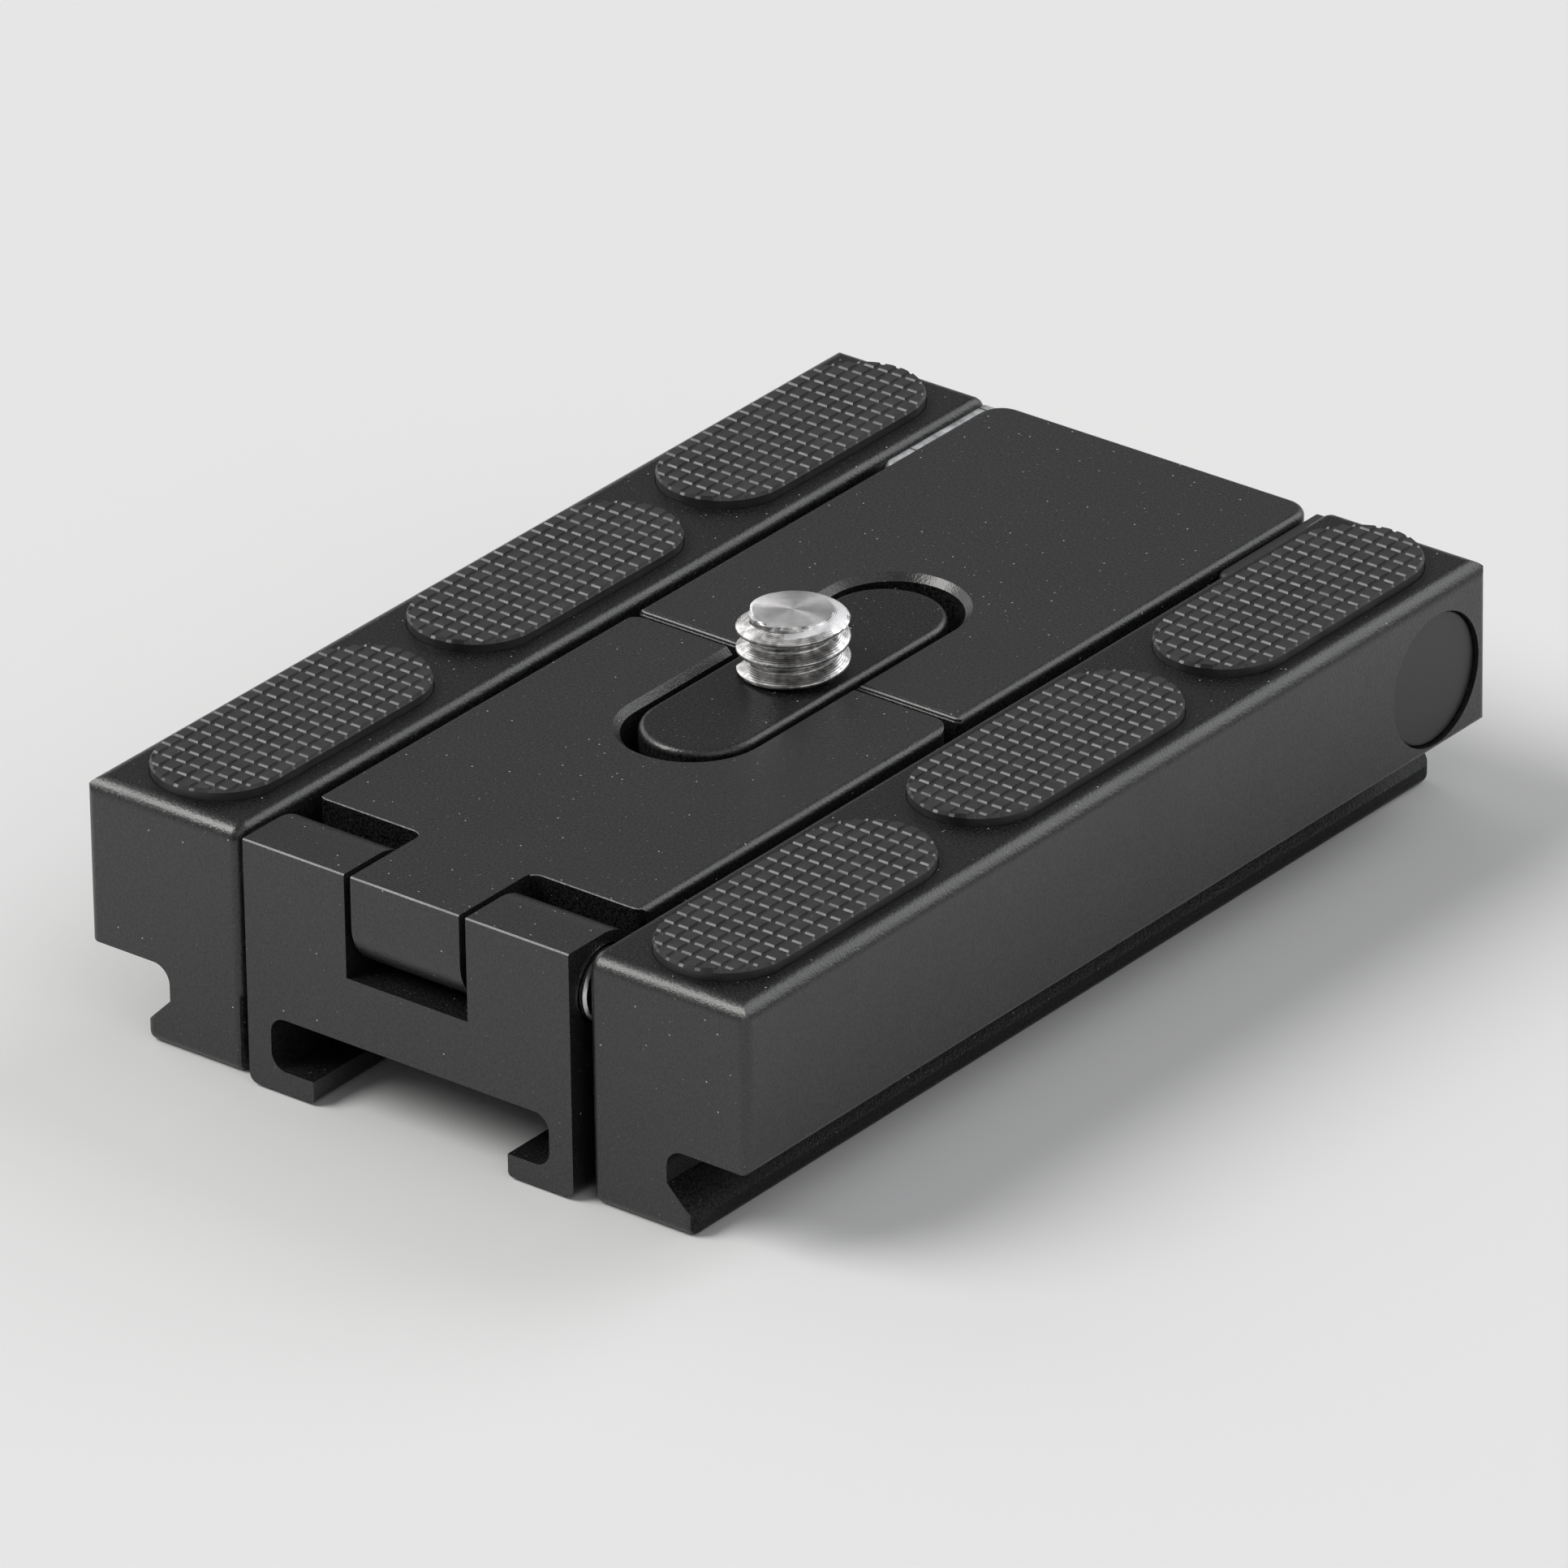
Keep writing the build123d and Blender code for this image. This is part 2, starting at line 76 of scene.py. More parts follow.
# Soft lights: name, direction towards the light, strength, spread in degrees and colour
LIGHTS = (
    ("key", (-0.55, -0.45, 0.70), 2.3, 34, (1.0, 0.99, 0.97)),
    ("rim", (0.30, 0.78, 0.53), 1.0, 46, (0.97, 0.98, 1.0)),
    ("fill", (0.75, -0.25, 0.60), 0.75, 70, (1.0, 1.0, 1.0)),
    ("side", (-0.90, 0.22, 0.38), 0.42, 42, (1.0, 1.0, 1.0)),
)

# Sky: its strength falls off round one direction, between an outer and an inner cosine
SKY_STRENGTH = 0.285
SKY_DARK_STRENGTH = 0.08
SKY_DARK_DIRECTION = (0.45, -0.60, 0.66)
SKY_DARK_INNER = 0.85
SKY_DARK_OUTER = 0.40

# Floor
FLOOR_RADIUS = 3.0
FLOOR_SEGMENTS = 96
FLOOR_CLOUD = 0.4
FLOOR_DARK = (0.728, 0.730, 0.733)
FLOOR_LIGHT = (0.738, 0.740, 0.743)
FLOOR_ROUGHNESS = 0.9

# Range in which most values of a noise lie, and a narrower one for crisper patches
NOISE_LOW = 0.3
NOISE_HIGH = 0.7
CRISP_LOW = 0.35
CRISP_HIGH = 0.65

# Strengths of faint and soft bumps
FAINT = 0.4
SOFT = 0.5

# Share of a normal along a direction from which a face counts as facing that way
FACES_ALONG = 0.5

# Phase of Blender's wave texture at a distance of one, for a scale of one
WAVE_RATE = 20

# Black finish: refractive index in general, and the lower ones that paint shade on the rails' level
# faces, on feet and notch walls
BLACK_INDEX = 1.65
LEVEL_INDEX = 1.38
PAINTED_SHADE_INDEX = 1.25

# Black finish: grain
BLACK_GRAIN = 0.15 * MM
BLACK_GRAIN_DETAIL = 4.0
BLACK_GRAIN_DEPTH = 0.026 * MM
BLACK_CLOUD = 5 * MM
BLACK_DARK = (0.0004, 0.0004, 0.0005)
BLACK_LIGHT = (0.0190, 0.0193, 0.0200)
BLACK_ROUGHNESS = (0.30, 0.38)

# Dust: size of a cell, radius of a speck, share of the cells on walls and on top, colour
FINE_DUST = (0.45 * MM, 0.032 * MM, 0.25, 0.70, (0.20, 0.20, 0.20))
COARSE_DUST = (0.8 * MM, 0.048 * MM, 0.18, 0.75, (0.40, 0.40, 0.39))
RUBBER_DUST = (0.9 * MM, 0.035 * MM, 0.15, 0.15, (0.26, 0.26, 0.25))

# Rails: how level the faces with painted shade are, and the height of the feet, also in painted
# shade, below the straight sides
LEVEL_FROM = 0.93
LEVEL_FULL = 0.995
FOOT_TOP = 4.9 * MM
FOOT_FADE = 0.3 * MM

# Notches: how far they start behind the jaw's front, and the painted highlight along the top edge
# of their walls
NOTCH_START = 2.0 * MM
PAINTED_HIGHLIGHT_DEPTH = 0.09 * MM
PAINTED_HIGHLIGHT_COLOUR = (0.9, 0.9, 0.9)

# Tool marks on the seam's chamfer, with a painted highlight on their crests
RIDGE_REACH = 0.3 * MM
RIDGE_PITCH = 0.26 * MM
RIDGE_DEPTH = 0.035 * MM
RIDGE_HIGHLIGHT_FROM = 0.4
RIDGE_HIGHLIGHT_COLOUR = (0.15, 0.15, 0.15)

# Rubber
RUBBER_INDEX = 1.6
RUBBER_GRAIN = 0.10 * MM
RUBBER_GRAIN_DEPTH = 0.012 * MM
RUBBER_CLOUD = 1.5 * MM
RUBBER_DARK = (0.013, 0.013, 0.014)
RUBBER_LIGHT = (0.025, 0.025, 0.027)
RUBBER_ROUGHNESS = (0.36, 0.48)

# Turned metal
RING_DEPTH = 0.004 * MM
RING_SMOOTHER = 0.05
RING_ROUGHER = 0.06
STAIN_SIZE = 0.5 * MM
STAIN_LOW = 0.38
STAIN_HIGH = 0.6
SCRATCH_SIZE = 0.06 * MM
SCRATCH_DEPTH = 0.006 * MM

# Plastic
PLASTIC_GRAIN = 0.25 * MM
PLASTIC_GRAIN_DEPTH = 0.008 * MM
PLASTIC_VARIATION = 0.05

# Acetal of the left friction liner, and the two dark lines across its edge
ACETAL_STAIN = 0.9 * MM
ACETAL_STAIN_DEPTH = 0.008 * MM
ACETAL_DARK = (0.24, 0.25, 0.26)
ACETAL_LIGHT = (0.56, 0.57, 0.58)
ACETAL_ROUGHNESS = (0.36, 0.46)
LINES_MIDDLE = 5.5 * MM
LINES_APART = 6.4 * MM
LINE_WIDTH = 0.12 * MM
LINE_COLOUR = (0.03, 0.03, 0.03)

# Lengths that count as nothing in a mesh
SAME_HEIGHT = 1e-7
SAME_POINT = 1e-7
SAME_PLANE = 1e-8
SHORT_EDGE = 1e-8

# Angles above which an edge is sharp, in degrees
PAD_SHARP_ANGLE = 20
SCREW_SHARP_ANGLE = 35

# Waffle pads
TILE_PITCH_X = 0.99 * MM
TILE_PITCH_Y = 1.115 * MM
TILE_TOP_X = 0.62 * MM
TILE_TOP_Y = 0.76 * MM
TILE_SLOPE_X = 0.04 * MM
TILE_SLOPE_Y = 0.09 * MM
TILE_HEIGHT = 0.10 * MM
PAD_RIM = 0.12 * MM
PAD_ARC_STEPS = 14

# Camera screw: its thread, 1/4 inch by 20
MAJOR_RADIUS = 3.175 * MM
THREAD_PITCH = 1.27 * MM
THREAD_DEPTH = 0.6134 * THREAD_PITCH
THREAD_CREST = THREAD_PITCH / 8
THREAD_ROOT = THREAD_PITCH / 4
CREST_ROUNDING = 0.02 * MM
ROOT_ROUNDING = 0.05 * MM
ROOT_ROUNDING_START = 0.95
THREAD_PHASE = math.radians(218)
THREAD_CREST_ABOVE_TOP = 1.2 * MM
THREAD_START_BELOW_TOP = 0.10 * MM
THREAD_COLUMNS = 144

# Camera screw: its cone, neck, head and coin slot
STUD_TOP_RADIUS = 2.20 * MM
STUD_CONE_RADIUS = 2.50 * MM
STUD_CONE_DROP = 0.12 * MM
STUD_CONE_SLOPE = 1.9
NECK_RADIUS = 2.3 * MM
NECK_SLOPE = 9.0
HEAD_EDGE = 0.25 * MM
COIN_SLOT_WIDTH = 1.4 * MM
COIN_SLOT_DEPTH = 1.2 * MM
COIN_SLOT_OVERSHOOT = 1.2
FACED_LEVEL = 0.88
FACED_DEPTH = 0.4 * MM


# Small helpers

def centre_of(node):
    low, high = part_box(node)
    return (low + high) / 2


def dress(node, material):
    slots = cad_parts[node].data.materials
    slots.clear()
    slots.append(material)


def mesh_from(shape, name, *materials):
    mesh = bpy.data.meshes.new(name)
    shape.to_mesh(mesh)
    shape.free()
    for material in materials:
        mesh.materials.append(material)
    return mesh


def link_object(name, data):
    thing = bpy.data.objects.new(name, data)
    bpy.context.scene.collection.objects.link(thing)
    return thing


def new_piece(name, mesh, body):
    piece = link_object(name, mesh)
    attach(piece, body)
    return piece


def shade_by_angle(mesh, degrees):
    mesh.shade_smooth()
    mesh.set_sharp_from_angle(angle=math.radians(degrees))


def extrude_rings(shape, edge, middle, rings, reach=0.0):
    """Carry an open edge through rings, each with a radius and a height, and close the last.

    A reach makes the rings obround: half circles with their middles that far along Y.
    """
    for radius, height in rings:
        made = bmesh.ops.extrude_edge_only(shape, edges=edge)["geom"]
        edge = [e for e in made if isinstance(e, bmesh.types.BMEdge) and e.is_boundary]
        for vert in {v for e in edge for v in e.verts}:
            axis = max(-reach, min(reach, vert.co.y - middle.y)) + middle.y
            arm = Vector((vert.co.x - middle.x, vert.co.y - axis, 0)).normalized()
            vert.co = Vector((middle.x, axis, height)) + arm * radius
    bmesh.ops.contextual_create(shape, geom=edge)
    bmesh.ops.recalc_face_normals(shape, faces=shape.faces[:])


def cut_box(piece, middle, size):
    """Cut a box out of a piece."""
    shape = bmesh.new()
    bmesh.ops.create_cube(shape, size=1.0)
    for vert in shape.verts:
        vert.co = middle + Vector(a * b for a, b in zip(vert.co, size))
    cutter = link_object("cutter", mesh_from(shape, "cutter"))
    cut = piece.modifiers.new("cut", "BOOLEAN")
    cut.operation = "DIFFERENCE"
    cut.object = cutter
    bpy.context.view_layer.update()
    evaluated = piece.evaluated_get(bpy.context.evaluated_depsgraph_get())
    piece.data = bpy.data.meshes.new_from_object(evaluated)
    piece.modifiers.clear()
    bpy.data.objects.remove(cutter)


# Materials

class Shading:
    """A material's node tree, with short calls for the nodes that the materials share."""

    def __init__(self, name):
        self.material = bpy.data.materials.new(name)
        self.material.use_nodes = True
        self.nodes = self.material.node_tree.nodes
        self.links = self.material.node_tree.links
        self.shader = self.nodes["Principled BSDF"]
        coordinates = self.nodes.new("ShaderNodeTexCoord")
        self.place = coordinates.outputs["Object"]
        self.facing = coordinates.outputs["Normal"]

    def set(self, **values):
        for socket, value in values.items():
            self.shader.inputs[socket].default_value = value

    def join(self, output, node, socket):
        self.links.new(output, node.inputs[socket])

    def finish(self, colour, roughness=None, normal=None):
        """Join what is given to the shader and return the material."""
        self.join(colour, self.shader, "Base Color")
        if roughness is not None:
            self.join(roughness, self.shader, "Roughness")
        if normal is not None:
            self.join(normal, self.shader, "Normal")
        return self.material

    def noise(self, size, detail=2.0):
        texture = self.nodes.new("ShaderNodeTexNoise")
        texture.inputs["Scale"].default_value = 1.0 / size
        texture.inputs["Detail"].default_value = detail
        self.join(self.place, texture, "Vector")
        return texture.outputs["Fac"]

    def rings(self, pitch, centre):
        mapping = self.nodes.new("ShaderNodeMapping")
        mapping.inputs["Location"].default_value = [-part for part in centre]
        self.join(self.place, mapping, "Vector")
        texture = self.nodes.new("ShaderNodeTexWave")
        texture.wave_type = "RINGS"
        texture.rings_direction = "Z"
        texture.inputs["Scale"].default_value = math.tau / WAVE_RATE / pitch
        texture.inputs["Distortion"].default_value = 0.6
        texture.inputs["Detail"].default_value = 3.0
        self.join(mapping.outputs["Vector"], texture, "Vector")
        return texture.outputs["Fac"]

    def ramp(self, value, low, high, bottom=0.0, top=1.0):
        node = self.nodes.new("ShaderNodeMapRange")
        node.inputs["From Min"].default_value = low
        node.inputs["From Max"].default_value = high
        node.inputs["To Min"].default_value = bottom
        node.inputs["To Max"].default_value = top
        self.join(value, node, "Value")
        return node.outputs["Result"]

    def spread(self, noise, bottom=0.0, top=1.0):
        """A noise's usual range, carried to another one."""
        return self.ramp(noise, NOISE_LOW, NOISE_HIGH, bottom, top)

    def math(self, operation, first, second=0.0):
        node = self.nodes.new("ShaderNodeMath")
        node.operation = operation
        for index, value in enumerate((first, second)):
            if isinstance(value, (int, float)):
                node.inputs[index].default_value = value
            else:
                self.links.new(value, node.inputs[index])
        return node.outputs["Value"]

    def both(self, first, second):
        """The product of two values, which is zero wherever either is."""
        return self.math("MULTIPLY", first, second)

    def mix(self, factor, first, second):
        node = self.nodes.new("ShaderNodeMix")
        node.data_type = "RGBA"
        self.links.new(factor, node.inputs["Factor"])
        for socket, value in (("A", first), ("B", second)):
            target = [s for s in node.inputs if s.name == socket and s.type == "RGBA"][0]
            if isinstance(value, tuple):
                target.default_value = (*value, 1.0)
            else:
                self.links.new(value, target)
        return [s for s in node.outputs if s.type == "RGBA"][0]

    def bump(self, height, distance, strength=1.0, under=None):
        node = self.nodes.new("ShaderNodeBump")
        node.inputs["Strength"].default_value = strength
        node.inputs["Distance"].default_value = distance
        self.join(height, node, "Height")
        if under is not None:
            self.join(under, node, "Normal")
        return node.outputs["Normal"]

    def parts(self, vector):
        """X, Y and Z of a position or of a normal."""
        split = self.nodes.new("ShaderNodeSeparateXYZ")
        self.join(vector, split, "Vector")
        return split.outputs

    def dust(self, colour, kind):
        """Tiny specks over a colour: one in a share of the cells, much smaller than a cell."""
        size, radius, share_on_walls, share_on_top, speck_colour = kind
        texture = self.nodes.new("ShaderNodeTexVoronoi")
        texture.inputs["Scale"].default_value = 1.0 / size
        self.join(self.place, texture, "Vector")
        near = self.math("LESS_THAN", texture.outputs["Distance"], radius / size)
        split = self.nodes.new("ShaderNodeSeparateColor")
        self.join(texture.outputs["Color"], split, "Color")
        upward = self.parts(self.facing)["Z"]
        share = self.ramp(upward, 0.0, 1.0, share_on_walls, share_on_top)
        chosen = self.math("LESS_THAN", split.outputs["Red"], share)
        return self.mix(self.both(near, chosen), colour, speck_colour)


def rails_painted_shade(shading, colour, normal):
    """Painted shade: the rails shine less on their level faces and on their feet than elsewhere."""
    facing = shading.parts(shading.facing)
    height = shading.parts(shading.place)["Z"]
    level = shading.ramp(facing["Z"], LEVEL_FROM, LEVEL_FULL, BLACK_INDEX, LEVEL_INDEX)
    sideways = shading.math("GREATER_THAN", shading.math("ABSOLUTE", facing["X"]), FACES_ALONG)
    loss = shading.ramp(height, FOOT_TOP - FOOT_FADE, FOOT_TOP, BLACK_INDEX - PAINTED_SHADE_INDEX, 0.0)
    # Painted shade: a lower refractive index on level faces and on the feet below the straight
    # sides
    index = shading.math("SUBTRACT", level, shading.both(sideways, loss))
    shading.join(index, shading.shader, "IOR")
    return colour, normal


def notch_shade_and_highlight(shading, colour, normal):
    """Painted shade: the notches' walls shine less. Painted highlight: a thin pale line, broken by
    the grain, along their top edges.
    """
    place = shading.parts(shading.place)
    notch_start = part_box("shoe_jaw")[0].y + NOTCH_START
    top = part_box("rear_plate")[1].z
    faces_front = shading.math("LESS_THAN", shading.parts(shading.facing)["Y"], -FACES_ALONG)
    wall = shading.both(faces_front, shading.math("GREATER_THAN", place["Y"], notch_start))
    # Painted shade: the notch walls shine less
    loss = shading.math("MULTIPLY", wall, BLACK_INDEX - PAINTED_SHADE_INDEX)
    shading.join(shading.math("SUBTRACT", BLACK_INDEX, loss), shading.shader, "IOR")
    # Painted highlight: a thin pale line along the walls' top edges
    edge = shading.both(wall, shading.math("GREATER_THAN", place["Z"], top - PAINTED_HIGHLIGHT_DEPTH))
    notch_highlight = shading.both(edge, shading.noise(BLACK_GRAIN, BLACK_GRAIN_DETAIL))
    return shading.mix(notch_highlight, colour, PAINTED_HIGHLIGHT_COLOUR), normal


def seam_ridges_and_highlights(shading, colour, normal):
    """Fine tool marks along the chamfer at the seam, with painted highlight lines on their crests.
    """
    place = shading.parts(shading.place)
    low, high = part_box("rear_plate")
    near_seam = shading.math("LESS_THAN", place["Y"], low.y + RIDGE_REACH)
    on_chamfer = shading.math("GREATER_THAN", place["Z"], high.z - RIDGE_REACH)
    wave = shading.math("SINE", shading.math("MULTIPLY", place["Z"], math.tau / RIDGE_PITCH))
    ridge = shading.both(wave, shading.both(near_seam, on_chamfer))
    # Painted highlight: pale lines on the ridges' crests
    crest = shading.math("GREATER_THAN", ridge, RIDGE_HIGHLIGHT_FROM)
    return shading.mix(crest, colour, RIDGE_HIGHLIGHT_COLOUR), shading.bump(ridge, RIDGE_DEPTH, 1.0, normal)


def blasted_black(name, add_marks_and_painted_light):
    """Bead-blasted, black anodised aluminium with a fine grain, a little dust, and its own marks,
    painted shade and painted highlights as each use gives them.
    """
    shading = Shading(name)
    shading.set(IOR=BLACK_INDEX)
    grain = shading.noise(BLACK_GRAIN, BLACK_GRAIN_DETAIL)
    cloud = shading.noise(BLACK_CLOUD, detail=3.0)
    colour = shading.mix(shading.ramp(grain, CRISP_LOW, CRISP_HIGH), BLACK_DARK, BLACK_LIGHT)
    for kind in (FINE_DUST, COARSE_DUST):
        colour = shading.dust(colour, kind)
    normal = shading.bump(grain, BLACK_GRAIN_DEPTH)
    colour, normal = add_marks_and_painted_light(shading, colour, normal)
    return shading.finish(colour, shading.spread(cloud, *BLACK_ROUGHNESS), normal)


def rubber(name):
    """Black rubber with a soft uneven face."""
    shading = Shading(name)
    shading.set(IOR=RUBBER_INDEX)
    grain = shading.noise(RUBBER_GRAIN, detail=3.0)
    cloud = shading.noise(RUBBER_CLOUD)
    base = shading.mix(shading.spread(cloud), RUBBER_DARK, RUBBER_LIGHT)
    colour = shading.dust(base, RUBBER_DUST)
    roughness = shading.spread(cloud, *RUBBER_ROUGHNESS)
    return shading.finish(colour, roughness, shading.bump(grain, RUBBER_GRAIN_DEPTH, SOFT))


def metal(name, node, colour, roughness, ring_pitch, anisotropy=0.0, stain=0.80):
    """Turned metal: fine rings about a node's own axis and small stains."""
    shading = Shading(name)
    shading.set(Metallic=1.0, Anisotropic=anisotropy)
    if anisotropy:
        tangent = shading.nodes.new("ShaderNodeTangent")
        tangent.direction_type = "RADIAL"
        tangent.axis = "Z"
        shading.join(tangent.outputs["Tangent"], shading.shader, "Tangent")
    cloud = shading.noise(STAIN_SIZE, detail=5.0)
    stained = tuple(part * stain for part in colour)
    base = shading.mix(shading.ramp(cloud, STAIN_LOW, STAIN_HIGH), stained, colour)
    rings = shading.rings(ring_pitch, centre_of(node))
    rough = shading.ramp(rings, 0.0, 1.0, roughness - RING_SMOOTHER, roughness + RING_ROUGHER)
    scratches = shading.bump(shading.noise(SCRATCH_SIZE), SCRATCH_DEPTH, FAINT)
    return shading.finish(base, rough, shading.bump(rings, RING_DEPTH, SOFT, scratches))


def plastic(name, dark, light, roughness):
    """Moulded plastic with a faint grain."""
    shading = Shading(name)
    grain = shading.noise(PLASTIC_GRAIN, detail=4.0)
    rough = shading.spread(grain, roughness - PLASTIC_VARIATION, roughness + PLASTIC_VARIATION)
    normal = shading.bump(grain, PLASTIC_GRAIN_DEPTH, FAINT)
    return shading.finish(shading.mix(grain, dark, light), rough, normal)


def lined_acetal(name, node):
    """White acetal with a few stains and two dark lines across its edge."""
    shading = Shading(name)
    cloud = shading.noise(ACETAL_STAIN, detail=5.0)
    base = shading.mix(shading.ramp(cloud, CRISP_LOW, CRISP_HIGH), ACETAL_DARK, ACETAL_LIGHT)
    lines_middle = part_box(node)[0].y + LINES_MIDDLE
    along = shading.math("SUBTRACT", shading.parts(shading.place)["Y"], lines_middle)
    apart = shading.math("SUBTRACT", shading.math("ABSOLUTE", along), LINES_APART / 2)
    line = shading.math("LESS_THAN", shading.math("ABSOLUTE", apart), LINE_WIDTH / 2)
    roughness = shading.spread(cloud, *ACETAL_ROUGHNESS)
    normal = shading.bump(cloud, ACETAL_STAIN_DEPTH, FAINT)
    return shading.finish(shading.mix(line, base, LINE_COLOUR), roughness, normal)


# Waffle pads

def steps_across(half, pitch, top, slope):
    """Places where the waffle's slopes start and end, from one side of the pad to the other."""
    tiles = math.ceil(half / pitch)
    places = [-tiles * pitch]
    for tile in range(-tiles, tiles):
        middle = (tile + 0.5) * pitch
        for offset in (-top / 2 - slope, -top / 2, top / 2, top / 2 + slope):
            places.append(middle + offset)
        places.append(middle + pitch / 2)
    return places


def tile_height(offset, pitch, top, slope):
    """Height of the waffle at a distance from a pad's middle, along one direction."""
    from_middle = abs((offset / pitch) % 1.0 - 0.5) * pitch
    share = (top / 2 + slope - from_middle) / slope
    return max(0.0, min(1.0, share)) * TILE_HEIGHT


def waffle_sheet(middle, half_width, half_length, floor):
    """A flat sheet with tiles on it, as wide and long as the pad or a little more."""
    shape_x = (TILE_PITCH_X, TILE_TOP_X, TILE_SLOPE_X)
    shape_y = (TILE_PITCH_Y, TILE_TOP_Y, TILE_SLOPE_Y)
    xs = steps_across(half_width, *shape_x)
    ys = steps_across(half_length, *shape_y)
    shape = bmesh.new()
    grid = []
    for y in ys:
        row = []
        for x in xs:
            lift = min(tile_height(x, *shape_x), tile_height(y, *shape_y))
            row.append(shape.verts.new((middle.x + x, middle.y + y, floor + lift)))
        grid.append(row)
    for j in range(len(ys) - 1):
        for i in range(len(xs) - 1):
            corners = [grid[j][i], grid[j][i + 1], grid[j + 1][i + 1], grid[j + 1][i]]
            raised = [k for k in range(4) if corners[k].co.z > floor + SAME_HEIGHT]
            if len(raised) != 1:
                shape.faces.new(corners)
                continue
            turned = corners[raised[0]:] + corners[:raised[0]]
            shape.faces.new((turned[0], turned[1], turned[2]))
            shape.faces.new((turned[0], turned[2], turned[3]))
    return shape


def obround(half_width, half_length, inset):
    """Points on a pad's outline with their outward directions, one for each flat cut."""
    radius = half_width - inset
    reach = half_length - half_width
    cuts = []
    for end in (-1, 1):
        for step in range(PAD_ARC_STEPS + 1):
            angle = math.pi * step / PAD_ARC_STEPS
            outward = Vector((math.cos(angle), end * math.sin(angle), 0))
            cuts.append((Vector((0, end * reach, 0)) + outward * radius, outward))
    return cuts


def waffle_pad(node, material):
    low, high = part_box(node)
    middle = centre_of(node)
    half_width = (high.x - low.x) / 2
    half_length = (high.y - low.y) / 2
    floor = high.z - TILE_HEIGHT
    shape = waffle_sheet(middle, half_width, half_length, floor)
    for point, outward in obround(half_width, half_length, PAD_RIM):
        bmesh.ops.bisect_plane(
            shape, geom=shape.verts[:] + shape.edges[:] + shape.faces[:], dist=SAME_PLANE,
            plane_co=point + Vector((middle.x, middle.y, 0)), plane_no=outward, clear_outer=True)
    edge = [e for e in shape.edges if e.is_boundary]
    rings = ((half_width, floor - PAD_RIM), (half_width, low.z))
    extrude_rings(shape, edge, middle, rings, half_length - half_width)
    name = "waffle_" + node
    mesh = mesh_from(shape, name, material)
    shade_by_angle(mesh, PAD_SHARP_ANGLE)
    piece = new_piece(name, mesh, "plate")
    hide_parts(node)


# Camera screw

def thread_profile():
    """Distance along the axis and depth below the crest, for one turn of the thread."""
    flank = (THREAD_PITCH - THREAD_CREST - THREAD_ROOT) / 2
    near_root = THREAD_DEPTH * ROOT_ROUNDING_START
    return (
        (-THREAD_CREST / 2, CREST_ROUNDING),
        (-THREAD_CREST / 4, 0.0),
        (THREAD_CREST / 4, 0.0),
        (THREAD_CREST / 2, CREST_ROUNDING),
        (THREAD_CREST / 2 + flank / 2, THREAD_DEPTH / 2),
        (THREAD_CREST / 2 + flank - ROOT_ROUNDING, near_root),
        (THREAD_CREST / 2 + flank + ROOT_ROUNDING, THREAD_DEPTH),
        (THREAD_PITCH - THREAD_CREST / 2 - flank - ROOT_ROUNDING, THREAD_DEPTH),
        (THREAD_PITCH - THREAD_CREST / 2 - flank + ROOT_ROUNDING, near_root),
        (THREAD_PITCH - THREAD_CREST / 2 - flank / 2, THREAD_DEPTH / 2),
    )


def end_limit(z, top, bottom):
    """Largest radius that the thread's ends, a cone and a neck, allow at a height."""
    cone_top = top - STUD_CONE_DROP
    if z > cone_top:
        share = (z - cone_top) / STUD_CONE_DROP
        upper = STUD_CONE_RADIUS + share * (STUD_TOP_RADIUS - STUD_CONE_RADIUS)
    else:
        upper = STUD_CONE_RADIUS + (cone_top - z) * STUD_CONE_SLOPE
    return min(upper, NECK_RADIUS + max(0.0, z - bottom) * NECK_SLOPE)


def wind_thread(axis, top, bottom, crest_height):
    """The stud's threaded side, open at both ends. The last column joins the first a turn on."""
    profile = thread_profile()
    first = math.floor((bottom - crest_height) / THREAD_PITCH) - 1
    last = math.ceil((top - crest_height) / THREAD_PITCH) + 1
    turns = range(first, last)
    points = [(turn * THREAD_PITCH + along, depth) for turn in turns for along, depth in profile]
    shape = bmesh.new()
    columns = []
    for column in range(THREAD_COLUMNS):
        angle = math.tau * column / THREAD_COLUMNS
        lead = THREAD_PITCH * ((angle - THREAD_PHASE) / math.tau)
        verts = []
        for along, depth in points:
            z = min(top, max(bottom, crest_height + lead + along))
            radius = min(MAJOR_RADIUS - depth, end_limit(z, top, bottom))
            x = axis.x + radius * math.cos(angle)
            y = axis.y + radius * math.sin(angle)
            verts.append(shape.verts.new((x, y, z)))
        columns.append(verts)
    for column in range(THREAD_COLUMNS):
        here = columns[column]
        there = columns[(column + 1) % THREAD_COLUMNS]
        shift = len(profile) if column == THREAD_COLUMNS - 1 else 0
        for row in range(len(points) - 1 - shift):
            across = row + shift
            shape.faces.new((here[row], there[across], there[across + 1], here[row + 1]))
    bmesh.ops.remove_doubles(shape, verts=shape.verts[:], dist=SAME_POINT)
    bmesh.ops.dissolve_degenerate(shape, edges=shape.edges[:], dist=SHORT_EDGE)
    return shape


